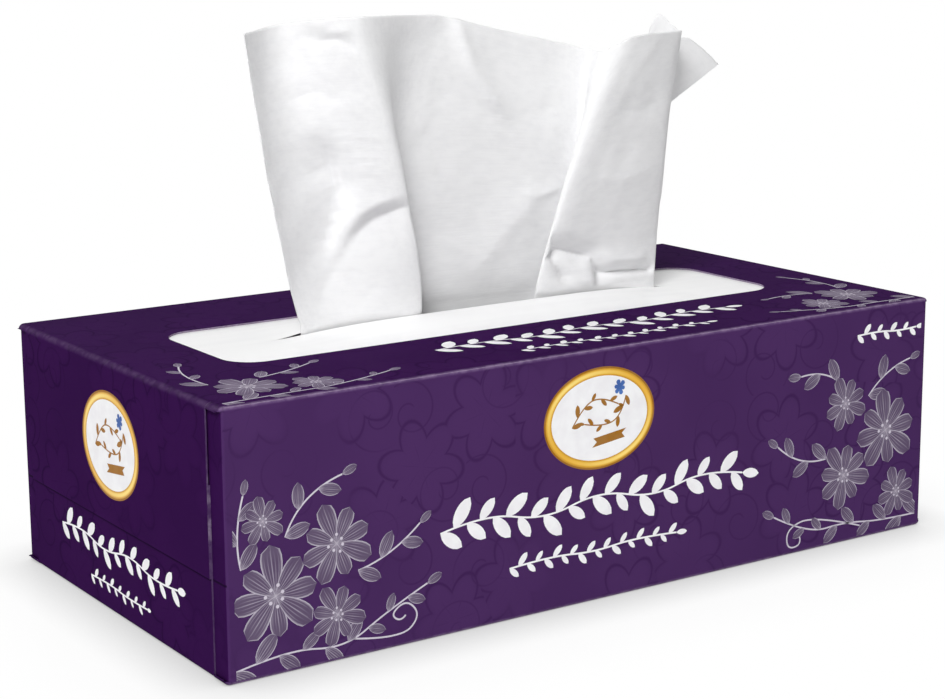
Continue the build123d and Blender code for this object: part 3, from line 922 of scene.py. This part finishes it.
def medal(shape, panel):
    a, b, wide, tall = shape[panel]
    ovals = [(wide - cut, tall - cut) for cut in (0.0, shape["edge"], shape["rim"])] + [(0.0, 0.0)]
    bands = ("edge", brownInk), ("rim", goldFinish), ("field", whiteInk)
    parts = []
    for (name, finish), outer, inner in zip(bands, ovals, ovals[1:]):
        parts.append(ovalBand(name, (a, b), outer, inner, shape, finish))
    stems = [[(a + x, b + y) for x, y in path] for path in shape["stems"]]
    parts.append(grow(stemCurve(stems, 3 * layer), sprigs, brownInk, shape["leaves"]))
    ribbon = [(a + x, b + y) for x, y in shape["ribbon"]]
    parts.append(flatShape("ribbon", ribbon, 3 * layer, brownInk))
    x, y, size, turn = shape["flower"]
    flower = flowerPoints(((a + x, b + y, size, turn),), 4 * layer)
    parts.append(grow(flower, blossoms, blueInk, {"Petals": 6, "Petal width": 0.6, "Layer": layer}))
    return parts


for panel in ("front", "endUpper"):
    printOn("medal_" + panel, panel, medal(medalShape, panel))
print("medals ready")

for node, finish in (("carton", cartonFinish), ("tissue_stack", stackFinish)):
    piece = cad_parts[node]
    if piece.material_slots:
        for slot in piece.material_slots:
            slot.material = finish
    else:
        piece.data.materials.append(finish)

# floor, light and camera, in metres
stageLook = {
    "worldLight": 0.22, "key": 15.0, "keyPlace": (-0.78, -0.68, 1.00), "keySize": 0.45,
    "fill": 1.8, "fillPlace": (0.55, -1.05, 0.55), "fillSize": 0.7,
    "back": 4.0, "backPlace": (-0.20, 1.20, 0.42), "backSize": 0.6, "aim": (0, 0, 0.06),
    "floor": (0.93, 0.93, 0.93, 1), "floorHalf": 3.0,
    "contact": (0.4, 0.4, 0.4, 1), "contactReach": 0.018, "shadow": 0.12, "shadowReach": 0.05,
    "eye": (-0.32885, -0.48081, 0.18323), "turn": (1.3714030, 0.0100849, -0.5768154),
    "lens": 80.106, "sensor": 36.0, "shift": (0.04446, -0.03231),
}


def seenPart(flow):  # 1 for rays that show the background, 0 for those that light the object
    rays = flow.add("ShaderNodeLightPath", out="Is Camera Ray")
    return flow.largest(rays, rays.out("Is Glossy Ray"), rays.out("Is Transmission Ray"))


def makeWorld(look):
    world = bpy.data.worlds.new("studio")
    scene.world = world
    world.use_nodes = True
    sky = world.node_tree.nodes["Background"]
    sky.inputs["Color"].default_value = (1, 1, 1, 1)
    seen = seenPart(Flow(world.node_tree))
    feed(sky, "Strength", look["worldLight"] + (1 - look["worldLight"]) * seen)


def makeFloor(look):  # white, with the box's own shadow and a soft shade where it stands
    mesh = bpy.data.meshes.new("floor")
    size = look["floorHalf"]
    corners = (-size, -size, 0), (size, -size, 0), (size, size, 0), (-size, size, 0)
    mesh.from_pydata(corners, [], [(0, 1, 2, 3)])
    floor = bpy.data.objects.new("floor", mesh)
    scene.collection.objects.link(floor)
    finish, flow, shader = newFinish("floor", Base_Color=look["floor"], Roughness=0.35)
    near = flow.add("ShaderNodeAmbientOcclusion", {"samples": 8}, {"Distance": look["contactReach"]}, "AO")
    shade = flow.add("ShaderNodeEmission", inputs={"Color": look["contact"], "Strength": 1.0})
    white = flow.add("ShaderNodeEmission", inputs={"Color": (1, 1, 1, 1), "Strength": 1.0})
    white = flow.add("ShaderNodeMixShader", inputs={0: near, 1: shade, 2: white})
    spot = flow.split(flow.place("Object"))
    besideX = flow.largest(abs(spot.out("X")) - box["length"] / 2 * mm, 0.0)
    besideY = flow.largest(abs(spot.out("Y")) - box["width"] / 2 * mm, 0.0)
    far = ((besideX * besideX + besideY * besideY) ** 0.5).ease(0.0, look["shadowReach"])
    glow = seenPart(flow) * (1 - look["shadow"] + look["shadow"] * far)
    lit = Flow(flow.tree, shader.outputs[0])
    mix = flow.add("ShaderNodeMixShader", inputs={0: glow, 1: lit, 2: white})
    feed(finish.node_tree.nodes["Material Output"], "Surface", mix)
    mesh.materials.append(finish)


def makeLamps(look):
    for name in ("key", "fill", "back"):
        lamp = bpy.data.lights.new(name, "AREA")
        lamp.energy = look[name]
        lamp.size = look[name + "Size"]
        holder = bpy.data.objects.new(name, lamp)
        holder.location = look[name + "Place"]
        holder.rotation_euler = (Vector(look["aim"]) - holder.location).to_track_quat("-Z", "Y").to_euler()
        scene.collection.objects.link(holder)


def makeCamera(look):
    eye = bpy.data.cameras.new("camera")
    eye.lens = look["lens"]
    eye.sensor_width = look["sensor"]
    eye.sensor_fit = "HORIZONTAL"
    eye.shift_x, eye.shift_y = look["shift"]
    eye.clip_start = 0.01
    holder = bpy.data.objects.new("camera", eye)
    holder.location = look["eye"]
    holder.rotation_euler = look["turn"]
    scene.collection.objects.link(holder)
    scene.camera = holder


makeWorld(stageLook)
makeFloor(stageLook)
makeLamps(stageLook)
makeCamera(stageLook)
print("stage ready")
